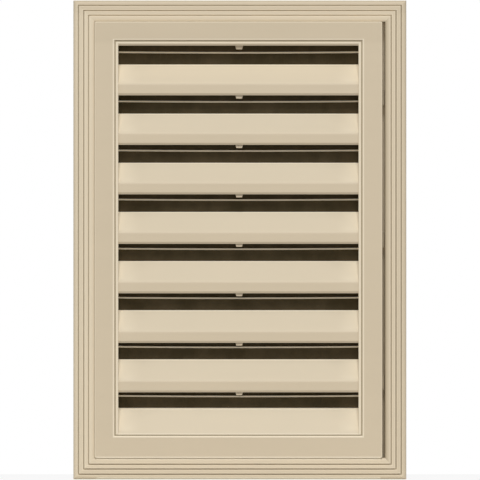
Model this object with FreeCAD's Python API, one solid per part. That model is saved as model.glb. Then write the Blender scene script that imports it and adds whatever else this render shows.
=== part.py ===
import FreeCAD, Part
import math
import os

# Rectangular gable vent: a moulded louvre base, a clip-on trim ring and an insect screen.
# X runs to the viewer's right, Y runs into the wall and Z up, in millimetres.
# The origin is the middle of the nailing flange, on the wall plane.

# Points nearer than this are one point
touching = 1e-6

# Louvre base, outside
box_width = 301.4
box_height = 457.2
box_depth = 38.0
rim_overhang = 2.2
face_thickness = 2.6
face_edge_radius = 0.9
box_corner_radius = 1.5
skirt_wall = 2.4

# Nailing flange and its slots
flange_width = 20.0
flange_thickness = 2.4
flange_corner_radius = 6.0
nail_line = 11.0
nail_slot_width = 4.5
nail_slot_length = 16.0
end_nail_spacing = 200.0
side_nail_spacing = 240.0

# Rails of the face frame and the shadow groove round the louvre field
side_rail = 20.9
top_rail = 19.8
bottom_rail = 23.35
rail_edge_radius = 1.1
groove_width = 1.3
groove_depth = 1.3
field_setback = 0.4
field_rim = 2.75
field_rim_radius = 0.8
header_height = 4.05
header_chamfer_height = 2.2
header_chamfer_depth = 1.6
end_wall = 2.4
side_draft = 1.4
top_draft = 2.2

# Louvre blades
blade_count = 7
slot_height = 17.8
nose_setback = 2.0
nose_height = 11.3
slope_depth = 22.0
sill_rise = 26.3
bend_radius = 6.0
blade_thickness = 2.4
lip_chamfer_height = 2.1
lip_chamfer_depth = 1.5
rear_edge_radius = 0.8

# Guard bar and centre tab in each slot
bar_height = 1.7
bar_depth = 2.5
bar_rise = 12.2
bar_setback = 1.0
bar_sag = 0.6
tab_top_width = 8.2
tab_foot_width = 6.2
tab_drop = 3.1
tab_setback = 4.0
tab_depth = 9.0
tab_offset = 1.2

# Insect screen, its ledge and the stakes that hold it
screen_thickness = 0.6
screen_margin = 1.0
ledge_width = 7.0
ledge_thickness = 2.4
stake_radius = 1.5
stake_hole_clearance = 0.3
stake_head_radius = 2.8
stake_head_height = 0.9
stakes_per_side = 3
stakes_per_end = 1

# Stiffening ribs in the channel behind the face frame
rib_thickness = 1.8
rib_depth = 18.0
rib_pitch = 76.0
ribs_per_side = 5
ribs_per_end = 3

# Trim ring
ring_band = 22.7
ring_setback = 2.2
ring_step = 1.6
ring_strips = (17.0, 11.9, 6.25)
ring_quirk_width = 1.3
ring_quirk_depth = 1.2
ring_wall = 2.0
ring_step_web = 2.2
ring_inner_radius = 1.6
ring_arris_radius = 0.5
ring_outer_radius = 3.5
ring_skirt_depth = 12.5
ring_back = 22.0
ring_side_clearance = 1.6
ring_end_clearance = 0.35
ring_shift = 1.5

# Ratchet ridges on the base and catches on the ring
ridge_height = 2.0
ridge_thickness = 1.4
ridge_length = 24.0
ridge_pitch = 4.0
ridge_start = 13.0
ridge_count = 4
catch_width = 16.0
catch_reach = 2.2
catch_thickness = 1.8
catch_clearance = 0.3
catch_ridge = 1
catches_per_side = 3
catches_per_end = 2
side_catch_pitch = 150.0
end_catch_pitch = 150.0

# Sizes that follow from the ones above
half_width = box_width / 2
half_height = box_height / 2
skirt_half_width = half_width - rim_overhang
skirt_half_height = half_height - rim_overhang
field_half_width = half_width - side_rail
field_top = half_height - top_rail
field_bottom = bottom_rail - half_height
cavity_half_width = field_half_width - groove_width - field_rim
cavity_top = field_top - groove_width - header_height
cavity_bottom = field_bottom + groove_width
throat_half_width = cavity_half_width + side_draft
throat_top = cavity_top + top_draft
tube_half_width = throat_half_width + end_wall
tube_top = throat_top + end_wall
rear_edge_setback = nose_setback + slope_depth
last_rear_edge = cavity_bottom + sill_rise
louvre_pitch = (cavity_top - slot_height - last_rear_edge) / blade_count
blade_rise = louvre_pitch - slot_height
bar_front = rear_edge_setback + bar_setback
field_rear = bar_front + bar_depth
ledge_half_width = tube_half_width + ledge_width
ledge_top = tube_top + ledge_width
ledge_bottom = last_rear_edge - ledge_width
ring_half_width = half_width + ring_side_clearance
ring_half_height = half_height + ring_end_clearance


def place(x, setback, z):
    """A point given by its setback behind the front of the face frame."""
    return FreeCAD.Vector(x, setback - box_depth, z)


def closed_wire(corners):
    """A closed wire through corners, each given as a point and the radius that rounds it."""
    starts = []
    ends = []
    edges = []
    count = len(corners)
    for index in range(count):
        point, radius = corners[index]
        before = corners[index - 1][0]
        after = corners[(index + 1) % count][0]
        if radius <= 0:
            starts.append(point)
            ends.append(point)
            edges.append(None)
            continue
        inward = (before - point).normalize()
        outward = (after - point).normalize()
        half_angle = inward.getAngle(outward) / 2
        reach = radius / math.tan(half_angle)
        middle = (inward + outward).normalize()
        bulge = radius / math.sin(half_angle) - radius
        starts.append(point + inward * reach)
        ends.append(point + outward * reach)
        edges.append(Part.Arc(starts[-1], point + middle * bulge, ends[-1]).toShape())
    outline = []
    for index in range(count):
        if edges[index] is not None:
            outline.append(edges[index])
        following = (index + 1) % count
        if ends[index].distanceToPoint(starts[following]) > touching:
            outline.append(Part.LineSegment(ends[index], starts[following]).toShape())
    return Part.Wire(outline)


def rectangle(left, right, bottom, top, setback, radius=0.0):
    """A rectangle that faces the front, with rounded corners."""
    corners = [(left, bottom), (right, bottom), (right, top), (left, top)]
    return closed_wire([(place(x, setback, z), radius) for x, z in corners])


def panel(outer, holes, thickness):
    """A plate that runs back from a front outline, with holes."""
    face = Part.Face(outer)
    for hole in holes:
        face = face.cut(Part.Face(hole))
    return face.extrude(FreeCAD.Vector(0, thickness, 0))


def across(corners, length):
    """A bar along X of the section given as (setback, z, radius)."""
    section = closed_wire([(place(-length / 2, setback, z), radius) for setback, z, radius in corners])
    return Part.Face(section).extrude(FreeCAD.Vector(length, 0, 0))


def turned(shape, quarter_turns):
    """A copy of a shape turned in the wall plane, seen from the front."""
    copy = shape.copy()
    copy.rotate(FreeCAD.Vector(0, 0, 0), FreeCAD.Vector(0, -1, 0), 90 * quarter_turns)
    return copy


def spread(count, pitch):
    """Evenly spaced places about zero."""
    return [(index - (count - 1) / 2) * pitch for index in range(count)]


def four_sides(side_half, end_half, side_places, end_places, make):
    """Copies of a feature on the right, top, left and bottom walls, made at (distance, place)."""
    copies = []
    for turn, half, places in ((0, side_half, side_places), (1, end_half, end_places),
                               (2, side_half, side_places), (3, end_half, end_places)):
        for where in places:
            copies.append(turned(make(half, where), turn))
    return copies


def face_frame():
    """The face frame, with a rounded front edge."""
    outline = rectangle(-half_width, half_width, -half_height, half_height, 0, box_corner_radius)
    plate = panel(outline, [], face_thickness)
    front = [edge for edge in plate.Edges if abs(edge.BoundBox.YMax + box_depth) < touching]
    return plate.makeFillet(face_edge_radius, front)


def skirt_and_flange():
    """The box wall behind the face frame, and the nailing flange round its back."""
    outer = rectangle(-skirt_half_width, skirt_half_width, -skirt_half_height, skirt_half_height,
                      face_thickness / 2)
    inner_width = skirt_half_width - skirt_wall
    inner_height = skirt_half_height - skirt_wall
    inner = rectangle(-inner_width, inner_width, -inner_height, inner_height, face_thickness / 2)
    skirt = panel(outer, [inner], box_depth - face_thickness / 2)
    flange_half_width = skirt_half_width + flange_width
    flange_half_height = skirt_half_height + flange_width
    front = box_depth - flange_thickness
    rim = rectangle(-flange_half_width, flange_half_width, -flange_half_height, flange_half_height,
                    front, flange_corner_radius)
    opening = rectangle(-inner_width, inner_width, -inner_height, inner_height, front)
    flange = panel(rim, [opening], flange_thickness)

    def nail_slot(half, where):
        reach = half + nail_line
        slot = rectangle(reach - nail_slot_width / 2, reach + nail_slot_width / 2,
                         where - nail_slot_length / 2, where + nail_slot_length / 2,
                         front - flange_thickness, nail_slot_width / 2)
        return panel(slot, [], 3 * flange_thickness)

    slots = four_sides(skirt_half_width, skirt_half_height, spread(2, side_nail_spacing),
                       spread(2, end_nail_spacing), nail_slot)
    return skirt.fuse(flange.cut(slots))


def ratchet_ridges():
    """Rows of saw-toothed ridges on the outside of the box wall."""
    def ladder(half, where):
        teeth = []
        for index in range(ridge_count):
            start = ridge_start + index * ridge_pitch
            section = closed_wire([
                (place(half - skirt_wall / 2, start, where - ridge_length / 2), 0),
                (place(half, start, where - ridge_length / 2), 0),
                (place(half + ridge_height, start + ridge_thickness / 2, where - ridge_length / 2), 0),
                (place(half + ridge_height, start + ridge_thickness, where - ridge_length / 2), 0),
                (place(half - skirt_wall / 2, start + ridge_thickness, where - ridge_length / 2), 0)])
            teeth.append(Part.Face(section).extrude(FreeCAD.Vector(0, 0, ridge_length)))
        return Part.makeCompound(teeth)

    ladders = four_sides(skirt_half_width, skirt_half_height, spread(catches_per_side, side_catch_pitch),
                         spread(catches_per_end, end_catch_pitch), ladder)
    return [tooth for one in ladders for tooth in one.Solids]


def sill_underside():
    """The back of the sill, from the screen ledge down to the face frame, as (setback, z, radius)."""
    ledge_front = field_rear - ledge_thickness
    return [
        (field_rear, ledge_bottom, 0),
        (ledge_front, ledge_bottom, 0),
        (ledge_front, last_rear_edge - 2 * blade_thickness, 0),
        (face_thickness, cavity_bottom - blade_thickness, 0)]


def field_tube():
    """The wall round the louvre field, and the ledge at its back that carries the screen."""
    front = face_thickness / 2
    section = [(front, tube_top, 0), (field_rear, tube_top, 0)] + sill_underside()
    section.append((front, cavity_bottom - blade_thickness, 0))
    tube = across(section, 2 * tube_half_width)
    rim = rectangle(-ledge_half_width, ledge_half_width, ledge_bottom, ledge_top,
                    field_rear - ledge_thickness)
    return tube.fuse(panel(rim, [], ledge_thickness))


def field_cavity():
    """The opening that the louvres cross, which widens a little towards the back."""
    mouth = rectangle(-cavity_half_width, cavity_half_width, cavity_bottom, cavity_top, field_setback)
    throat = rectangle(-throat_half_width, throat_half_width, cavity_bottom, throat_top, field_rear)
    return Part.makeLoft([mouth, throat], True, True)


def blade(lip):
    """A louvre blade: an upright nose that bends into a slope, rising to its rear edge."""
    slope_angle = math.atan2(blade_rise - nose_height, slope_depth)
    back_step = blade_thickness * math.sin(slope_angle)
    down_step = blade_thickness * math.cos(slope_angle)
    inner_bend = nose_height + blade_thickness * (math.sin(slope_angle) - 1) / math.cos(slope_angle)
    inner_radius = bend_radius - blade_thickness
    nose_back = nose_setback + blade_thickness
    section = [
        (nose_setback + lip_chamfer_depth, lip, 0),
        (nose_setback, lip + lip_chamfer_height, 0),
        (nose_setback, lip + nose_height, bend_radius),
        (rear_edge_setback, lip + blade_rise, rear_edge_radius),
        (rear_edge_setback + back_step, lip + blade_rise - down_step, rear_edge_radius),
        (nose_back, lip + inner_bend, inner_radius),
        (nose_back, lip, 0)]
    return across(section, 2 * tube_half_width)


def sill():
    """The sloped sill under the last slot, and the wall behind it that ends the field."""
    section = [
        (field_setback, cavity_bottom, 0),
        (rear_edge_setback, last_rear_edge, rear_edge_radius),
        (field_rear, last_rear_edge, 0)]
    section = section + sill_underside()
    section.append((field_setback, cavity_bottom - blade_thickness, 0))
    return across(section, 2 * tube_half_width)


def guard_bar(rear_edge):
    """A thin bar that crosses a slot and hangs slightly between its ends."""
    reach = tube_half_width
    edges = []
    for rise in (-bar_height / 2, bar_height / 2):
        middle = rear_edge + bar_rise + rise
        edges.append(Part.Arc(place(-reach, bar_front, middle + bar_sag), place(0, bar_front, middle),
                              place(reach, bar_front, middle + bar_sag)).toShape())
    bottom, top = edges
    left = Part.LineSegment(top.Vertexes[0].Point, bottom.Vertexes[0].Point).toShape()
    right = Part.LineSegment(bottom.Vertexes[1].Point, top.Vertexes[1].Point).toShape()
    outline = Part.Wire([bottom, right, top, left])
    return Part.Face(outline).extrude(FreeCAD.Vector(0, bar_depth, 0))


def centre_tab(lip, under_header):
    """A small tapered tab that hangs behind the middle of a lip, in front of the guard bar."""
    front = nose_setback + tab_setback
    back = front + tab_depth
    slope = (blade_rise - nose_height) / slope_depth
    front_top = lip + end_wall / 2
    rear_top = front_top + top_draft
    if not under_header:
        front_top = lip + nose_height + (tab_setback - blade_thickness / 2) * slope - blade_thickness / 2
        rear_top = front_top + tab_depth * slope
    foot = lip - tab_drop
    side = across([(front, foot, 0), (front, front_top, 0), (back, rear_top, 0), (back, foot, 0)],
                  2 * tab_top_width)
    waist = tab_foot_width / 2
    shoulder = tab_top_width / 2
    outline = closed_wire([(place(-waist, 0, foot), 0), (place(waist, 0, foot), 0),
                           (place(shoulder, 0, lip), 0), (place(shoulder, 0, rear_top), 0),
                           (place(-shoulder, 0, rear_top), 0), (place(-shoulder, 0, lip), 0)])
    tab = side.common(Part.Face(outline).extrude(FreeCAD.Vector(0, box_depth, 0)))
    tab.translate(FreeCAD.Vector(tab_offset, 0, 0))
    return tab


def stake_places():
    """Places round the ledge where the screen is staked."""
    middle = (tube_half_width + ledge_half_width) / 2
    top = (tube_top + ledge_top) / 2
    bottom = (ledge_bottom + last_rear_edge) / 2
    side_pitch = (top - bottom) / (stakes_per_side - 1)
    places = []
    for side in (-middle, middle):
        for rise in spread(stakes_per_side, side_pitch):
            places.append((side, (top + bottom) / 2 + rise))
    for across_place in spread(stakes_per_end + 2, 2 * middle / (stakes_per_end + 1))[1:-1]:
        places.append((across_place, top))
        places.append((across_place, bottom))
    return places


def stakes():
    """Moulded stakes, each with its head spread over the screen."""
    made = []
    back = FreeCAD.Vector(0, 1, 0)
    for x, z in stake_places():
        root = field_rear - ledge_thickness / 2
        made.append(Part.makeCylinder(stake_radius, field_rear + screen_thickness - root + stake_head_height,
                                      place(x, root, z), back))
        made.append(Part.makeCylinder(stake_head_radius, stake_head_height,
                                      place(x, field_rear + screen_thickness, z), back))
    return made


def channel_ribs():
    """Ribs that tie the box wall to the field tube behind the face frame."""
    front = face_thickness / 2
    ribs = []
    for z in spread(ribs_per_side, rib_pitch):
        for side in (-1, 1):
            inner = side * (tube_half_width - end_wall / 2)
            outer = side * (skirt_half_width - skirt_wall / 2)
            plate = rectangle(min(inner, outer), max(inner, outer),
                              z - rib_thickness / 2, z + rib_thickness / 2, front)
            ribs.append(panel(plate, [], rib_depth))
    for x in spread(ribs_per_end, rib_pitch):
        for inner, outer in ((tube_top - end_wall / 2, skirt_half_height - skirt_wall / 2),
                             (skirt_wall / 2 - skirt_half_height, ledge_bottom + ledge_width / 2)):
            plate = rectangle(x - rib_thickness / 2, x + rib_thickness / 2, inner, outer, front)
            ribs.append(panel(plate, [], rib_depth))
    return ribs


def edge_roll(corners, setback, radius):
    """The waste that rounds the edge of an opening, along corners that start on its left side."""
    foot = place(corners[0][0], setback, corners[0][1])
    path = Part.makePolygon([place(x, setback, z) for x, z in corners])
    section = [((-radius, 0), 0), ((0, 0), radius), ((0, radius), 0), ((radius, radius), 0),
               ((radius, -radius), 0), ((-radius, -radius), 0)]
    outline = closed_wire([(foot + FreeCAD.Vector(x, y, 0), bend) for (x, y), bend in section])
    return path.makePipeShell([outline], True, False, 1)


def rail_roll():
    """The rounding of the face frame where it meets the groove."""
    middle = (field_bottom + field_top) / 2
    return edge_roll([(-field_half_width, middle), (-field_half_width, field_top),
                      (field_half_width, field_top), (field_half_width, field_bottom),
                      (-field_half_width, field_bottom), (-field_half_width, middle)], 0, rail_edge_radius)


def mouth_roll():
    """The rounding of the field's mouth, along its top and both sides."""
    return edge_roll([(-cavity_half_width, field_bottom), (-cavity_half_width, cavity_top),
                      (cavity_half_width, cavity_top), (cavity_half_width, field_bottom)],
                     field_setback, field_rim_radius)


def header_chamfer():
    """The slant on the lower edge of the header, like the one under each blade's nose."""
    return across([(0, cavity_top, 0), (field_setback + header_chamfer_depth, cavity_top, 0),
                   (field_setback, cavity_top + header_chamfer_height, 0),
                   (0, cavity_top + header_chamfer_height, 0)], 2 * cavity_half_width)


def louvre_base():
    """The one-piece base moulding."""
    frame = face_frame().fuse([skirt_and_flange(), field_tube()] + ratchet_ridges() + channel_ribs())
    frame = frame.cut(field_cavity())
    groove = panel(rectangle(-field_half_width, field_half_width, field_bottom, field_top, 0),
                   [rectangle(groove_width - field_half_width, field_half_width - groove_width,
                              field_bottom + groove_width, field_top - groove_width, 0)],
                   groove_depth)
    setback = panel(rectangle(-field_half_width, field_half_width, field_bottom, field_top, 0), [],
                    field_setback)
    frame = frame.cut([groove, setback, rail_roll(), mouth_roll(), header_chamfer()])
    crossing = [sill().cut(groove)]
    for index in range(blade_count + 1):
        lip = cavity_top - index * louvre_pitch
        if index > 0:
            crossing.append(blade(lip))
        crossing.append(guard_bar(lip - slot_height))
        crossing.append(centre_tab(lip, index == 0))
    return frame.fuse(crossing + stakes()).removeSplitter()


def insect_screen():
    """The screen sheet, with a hole for each stake."""
    sheet = panel(rectangle(screen_margin - ledge_half_width, ledge_half_width - screen_margin,
                            ledge_bottom + screen_margin, ledge_top - screen_margin, field_rear), [],
                  screen_thickness)
    holes = []
    for x, z in stake_places():
        holes.append(Part.makeCylinder(stake_radius + stake_hole_clearance, 3 * screen_thickness,
                                       place(x, field_rear - screen_thickness, z), FreeCAD.Vector(0, 1, 0)))
    return sheet.cut(holes)


def ring_section(start):
    """The stepped, hollow section of the trim ring, as (distance from the opening, setback, radius)."""
    corners = [(0, ring_skirt_depth, 0), (0, ring_setback, ring_inner_radius)]
    level = ring_setback
    inside = []
    for reach in ring_strips:
        edge = ring_band - reach
        foot = level + ring_step + ring_quirk_depth
        corners.append((edge, level, ring_arris_radius))
        corners.append((edge, foot, 0))
        corners.append((edge + ring_quirk_width, foot, 0))
        inside.append((edge - ring_wall, level + ring_quirk_depth + ring_step_web))
        level = level + ring_step
        corners.append((edge + ring_quirk_width, level, ring_arris_radius / 2))
        inside.append((edge - ring_wall, level + ring_quirk_depth + ring_step_web))
    corners.append((ring_band, level, ring_outer_radius))
    corners.append((ring_band, ring_back, 0))
    corners.append((ring_band - ring_wall, ring_back, 0))
    corners.append((ring_band - ring_wall, level + ring_quirk_depth + ring_step_web, 0))
    for edge, setback in reversed(inside):
        corners.append((edge, setback, 0))
    corners.append((ring_wall, ring_setback + ring_quirk_depth + ring_step_web, 0))
    corners.append((ring_wall, ring_skirt_depth, 0))
    return closed_wire([(start + FreeCAD.Vector(out, setback, 0), radius)
                        for out, setback, radius in corners])


def ring_catches():
    """Tongues on the ring's inner skirt, each with a hook that sits behind a ridge."""
    hook_front = ridge_start + catch_ridge * ridge_pitch + ridge_thickness + catch_clearance
    hook_back = hook_front + catch_thickness
    root = ring_skirt_depth - ring_wall

    def catch(half, where):
        section = closed_wire([
            (place(half, root, where - catch_width / 2), 0),
            (place(half, hook_front, where - catch_width / 2), 0),
            (place(half - catch_reach, hook_front, where - catch_width / 2), 0),
            (place(half - catch_reach, hook_front + catch_thickness / 2, where - catch_width / 2), 0),
            (place(half, hook_back, where - catch_width / 2), 0),
            (place(half + ring_wall, hook_back, where - catch_width / 2), 0),
            (place(half + ring_wall, root, where - catch_width / 2), 0)])
        return Part.Face(section).extrude(FreeCAD.Vector(0, 0, catch_width))

    return four_sides(ring_half_width, ring_half_height, spread(catches_per_side, side_catch_pitch),
                      spread(catches_per_end, end_catch_pitch), catch)


def trim_ring():
    """The clip-on trim ring: its section swept round the opening with mitred corners."""
    start = place(ring_half_width, 0, 0)
    path = Part.makePolygon([start, place(ring_half_width, 0, ring_half_height),
                             place(-ring_half_width, 0, ring_half_height),
                             place(-ring_half_width, 0, -ring_half_height),
                             place(ring_half_width, 0, -ring_half_height), start])
    ring = path.makePipeShell([ring_section(start)], True, False, 1)
    ring = ring.fuse(ring_catches()).removeSplitter()
    ring.translate(FreeCAD.Vector(ring_shift, 0, 0))
    return ring


os.makedirs("parts", exist_ok=True)
louvre_base().exportStep("parts/louvre_base.step")
trim_ring().exportStep("parts/trim_ring.step")
insect_screen().exportStep("parts/insect_screen.step")
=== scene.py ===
import math
import bmesh
import bpy
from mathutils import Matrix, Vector


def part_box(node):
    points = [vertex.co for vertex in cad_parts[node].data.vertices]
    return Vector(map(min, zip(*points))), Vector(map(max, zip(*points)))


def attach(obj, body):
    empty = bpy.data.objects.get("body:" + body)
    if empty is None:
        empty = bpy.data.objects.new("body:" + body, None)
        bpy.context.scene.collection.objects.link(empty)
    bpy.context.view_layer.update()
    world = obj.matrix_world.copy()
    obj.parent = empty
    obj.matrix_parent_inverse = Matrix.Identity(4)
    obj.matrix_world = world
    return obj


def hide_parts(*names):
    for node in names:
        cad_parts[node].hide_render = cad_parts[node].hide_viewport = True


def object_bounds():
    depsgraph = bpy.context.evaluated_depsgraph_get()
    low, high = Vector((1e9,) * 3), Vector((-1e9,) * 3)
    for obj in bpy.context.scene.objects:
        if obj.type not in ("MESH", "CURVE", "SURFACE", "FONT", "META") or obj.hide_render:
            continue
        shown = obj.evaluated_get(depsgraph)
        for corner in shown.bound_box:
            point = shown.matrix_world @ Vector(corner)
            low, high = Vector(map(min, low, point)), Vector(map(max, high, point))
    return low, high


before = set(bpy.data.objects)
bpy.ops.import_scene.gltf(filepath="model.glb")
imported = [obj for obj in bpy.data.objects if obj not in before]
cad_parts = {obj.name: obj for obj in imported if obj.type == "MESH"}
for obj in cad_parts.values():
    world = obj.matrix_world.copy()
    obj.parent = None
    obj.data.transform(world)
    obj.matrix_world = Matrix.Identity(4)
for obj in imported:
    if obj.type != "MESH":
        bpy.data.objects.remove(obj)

cadLow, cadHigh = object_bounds()
mm = 0.001
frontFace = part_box("louvre_base")[0].y  # the front of the face frame
mergeGap, weldGap, sliverGap = 1e-7, 2e-6, 1e-6  # metres: points of a new mesh, then of a joined one
print("frame loaded:", ", ".join(sorted(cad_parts)))


# wraps a socket, so that shader maths reads as a plain expression
class Value:
    def __init__(self, net, socket):
        self.net = net
        self.socket = socket

    def maths(self, operation, *values):
        return self.net.add("ShaderNodeMath", {"operation": operation}, dict(enumerate(values)))

    def __add__(self, other):
        return self.maths("ADD", self, other)

    def __radd__(self, other):
        return self.maths("ADD", other, self)

    def __sub__(self, other):
        return self.maths("SUBTRACT", self, other)

    def __rsub__(self, other):
        return self.maths("SUBTRACT", other, self)

    def __mul__(self, other):
        return self.maths("MULTIPLY", self, other)

    def __rmul__(self, other):
        return self.maths("MULTIPLY", other, self)

    def __abs__(self):
        return self.maths("ABSOLUTE", self)

    def larger(self, other):
        return self.maths("MAXIMUM", self, other)

    # 1 within reach of the other value, else 0
    def near(self, other, reach):
        return self.maths("COMPARE", self, other, reach)

    # eases from 0 at the start to 1 at the full value
    def ramp(self, start, full):
        return self.net.add("ShaderNodeMapRange", {"interpolation_type": "SMOOTHSTEP"},
                            {"Value": self, "From Min": start, "From Max": full})


# one node tree, shader or geometry
class Net:
    def __init__(self, tree):
        self.tree = tree
        tree.nodes.clear()

    def add(self, kind, settings=None, sockets=None, out=0):
        node = self.tree.nodes.new(kind)
        for name, value in (settings or {}).items():
            if name == "stops":
                for index, (place, colour) in enumerate(value):
                    if index > 1:  # a new ramp has two stops
                        node.color_ramp.elements.new(place)
                    node.color_ramp.elements[index].position = place
                    node.color_ramp.elements[index].color = colour
            else:
                setattr(node, name, value)
        for name, value in (sockets or {}).items():
            for one in value if isinstance(value, list) else [value]:
                if isinstance(one, Value):
                    self.tree.links.new(one.socket, node.inputs[name])
                else:
                    node.inputs[name].default_value = one
        if isinstance(out, list):
            return [Value(self, node.outputs[name]) for name in out]
        return Value(self, node.outputs[out]) if len(node.outputs) else None


# a point in metres from millimetres, given by its setback behind the face
def spot(x, setback, z):
    return (x * mm, setback * mm + frontFace, z * mm)


# the angles of a quarter turn in equal steps
def quarterTurn(steps):
    return [step / steps * math.pi / 2 for step in range(steps + 1)]


# a closed outline with its corners rounded: each corner is (u, v, radius)
def roundedPath(corners, turnStep=0.24):
    points = []
    for index, (u, v, radius) in enumerate(corners):
        if radius <= 0:
            points.append((u, v))
            continue
        before = corners[index - 1]
        after = corners[(index + 1) % len(corners)]
        inU, inV = before[0] - u, before[1] - v
        outU, outV = after[0] - u, after[1] - v
        inLength, outLength = math.hypot(inU, inV), math.hypot(outU, outV)
        inU, inV, outU, outV = inU / inLength, inV / inLength, outU / outLength, outV / outLength
        half = math.acos(max(-1, min(1, inU * outU + inV * outV))) / 2
        middleU, middleV = inU + outU, inV + outV
        length = math.hypot(middleU, middleV)
        centreU = u + middleU / length * radius / math.sin(half)
        centreV = v + middleV / length * radius / math.sin(half)
        startU = u + inU * radius / math.tan(half) - centreU
        startV = v + inV * radius / math.tan(half) - centreV
        sweep = math.pi - 2 * half
        if startU * inV - startV * inU > 0:
            sweep = -sweep
        steps = max(2, math.ceil(abs(sweep) / turnStep))
        for step in range(steps + 1):
            angle = sweep * step / steps
            points.append((centreU + startU * math.cos(angle) - startV * math.sin(angle),
                           centreV + startU * math.sin(angle) + startV * math.cos(angle)))
    return points


def makeObject(name, data):
    piece = bpy.data.objects.new(name, data)
    bpy.context.scene.collection.objects.link(piece)
    return piece


def meshObject(name, points, faces):
    mesh = bpy.data.meshes.new(name)
    mesh.from_pydata(points, [], faces)
    shape = bmesh.new()
    shape.from_mesh(mesh)
    bmesh.ops.remove_doubles(shape, verts=shape.verts, dist=mergeGap)
    bmesh.ops.recalc_face_normals(shape, faces=shape.faces)
    shape.to_mesh(mesh)
    shape.free()
    return makeObject(name, mesh)


# a skin over loops of points: capped at both ends, or led from the last loop back to the first
def skinOver(name, loops, endless=False):
    count = len(loops[0])
    points = [point for loop in loops for point in loop]
    last = len(points) - count
    faces = [] if endless else [tuple(range(count)), tuple(range(last, len(points)))]
    for level in range(len(loops) if endless else len(loops) - 1):
        here, there = level * count, (level + 1) % len(loops) * count
        for index in range(count):
            after = (index + 1) % count
            faces.append((here + index, here + after, there + after, there + index))
    return meshObject(name, points, faces)


# a closed tube round the vent: each level is a rounded rectangle (half width, bottom, top, setback, radius)
def loopStack(name, levels, shift=0.0, cornerSteps=5):
    loops = []
    for halfWidth, bottom, top, setback, radius in levels:
        right, upper, lower = halfWidth - radius, top - radius, bottom + radius
        loop = []
        for quarter, (x, z) in enumerate(((right, upper), (-right, upper), (-right, lower), (right, lower))):
            for step in range(cornerSteps + 1):
                angle = (quarter + step / cornerSteps) * math.pi / 2
                loop.append(spot(shift + x + radius * math.cos(angle), setback, z + radius * math.sin(angle)))
        loops.append(loop)
    return skinOver(name, loops, True)


# a bar along X of a section given as (setback, z), with its middle lower by the sag
def barAlong(name, section, reach, stations=2, sag=0.0):
    loops = []
    for station in range(stations):
        share = 2 * station / (stations - 1) - 1
        loops.append([spot(reach * share, setback, z + sag * share ** 2) for setback, z in section])
    return skinOver(name, loops)


# a small feature for a wall: section (distance out of the wall, setback), drawn along the wall
def wallFeature(name, section, length):
    return skinOver(name, [[spot(out, setback, end) for out, setback in section]
                           for end in (-length / 2, length / 2)])


# a turned feature on an axis that runs back from the face: profile (radius, setback)
def turnedFeature(name, profile, segments=14):
    points = [spot(0, profile[0][1], 0), spot(0, profile[-1][1], 0)]
    poles = len(points)
    for radius, setback in profile:
        for step in range(segments):
            angle = 2 * math.pi * step / segments
            points.append(spot(radius * math.cos(angle), setback, radius * math.sin(angle)))
    faces = []
    last = poles + (len(profile) - 1) * segments
    for step in range(segments):
        after = (step + 1) % segments
        faces.append((0, poles + step, poles + after))
        faces.append((1, last + after, last + step))
        for here in range(poles, last, segments):
            there = here + segments
            faces.append((here + step, here + after, there + after, there + step))
    return meshObject(name, points, faces)


# a geometry tree with named inputs: its net, and its inputs by name
def newTree(name, inputs):
    tree = bpy.data.node_groups.new(name, "GeometryNodeTree")
    net = Net(tree)
    tree.interface.new_socket(name="Geometry", in_out="INPUT", socket_type="NodeSocketGeometry")
    for label, kind in inputs:
        tree.interface.new_socket(name=label, in_out="INPUT", socket_type=kind)
    tree.interface.new_socket(name="Geometry", in_out="OUTPUT", socket_type="NodeSocketGeometry")
    names = ["Geometry"] + [label for label, kind in inputs]
    return net, dict(zip(names, net.add("NodeGroupInput", out=names)))


# ends a tree: instances made real, material set
def closeTree(net, geometry, material):
    real = net.add("GeometryNodeRealizeInstances", None, {"Geometry": geometry})
    painted = net.add("GeometryNodeSetMaterial", None, {"Geometry": real, "Material": material})
    net.add("NodeGroupOutput", None, {"Geometry": painted})
    return net.tree


# copies of a shape, a step apart
def rowOf(net, shape, count, step):
    line = net.add("GeometryNodeMeshLine", {"mode": "OFFSET"}, {"Count": count, "Offset": step})
    return net.add("GeometryNodeInstanceOnPoints", None, {"Points": line, "Instance": shape})


# repeats the mesh it is given in a row
def rowTree():
    net, entry = newTree("repeatInRow", [
        ("Count", "NodeSocketInt"), ("Step", "NodeSocketVector"), ("Material", "NodeSocketMaterial")])
    copies = rowOf(net, entry["Geometry"], entry["Count"], entry["Step"])
    return closeTree(net, copies, entry["Material"])


# sets a feature on each point it is given, turned by the point's own angle
def wallTree():
    net, entry = newTree("setOnWalls", [
        ("Feature", "NodeSocketObject"), ("Material", "NodeSocketMaterial")])
    shape = net.add("GeometryNodeObjectInfo", None, {"Object": entry["Feature"]}, "Geometry")
    angle = net.add("GeometryNodeInputNamedAttribute", {"data_type": "FLOAT"}, {"Name": "turn"})
    turn = net.add("ShaderNodeCombineXYZ", None, {"Y": angle})
    copies = net.add("GeometryNodeInstanceOnPoints", None,
                     {"Points": entry["Geometry"], "Instance": shape, "Rotation": turn})
    return closeTree(net, copies, entry["Material"])


# two crossing rows of threads
def weaveTree():
    net, entry = newTree("crossThreads", [
        ("Across", "NodeSocketObject"), ("Upright", "NodeSocketObject"), ("Rows", "NodeSocketInt"),
        ("Columns", "NodeSocketInt"), ("Row Step", "NodeSocketVector"), ("Column Step", "NodeSocketVector"),
        ("Material", "NodeSocketMaterial")])
    sets = []
    for label, count, step in (("Across", "Rows", "Row Step"), ("Upright", "Columns", "Column Step")):
        thread = net.add("GeometryNodeObjectInfo", None, {"Object": entry[label]}, "Geometry")
        sets.append(rowOf(net, thread, entry[count], entry[step]))
    both = net.add("GeometryNodeJoinGeometry", None, {"Geometry": sets})
    return closeTree(net, both, entry["Material"])


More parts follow.
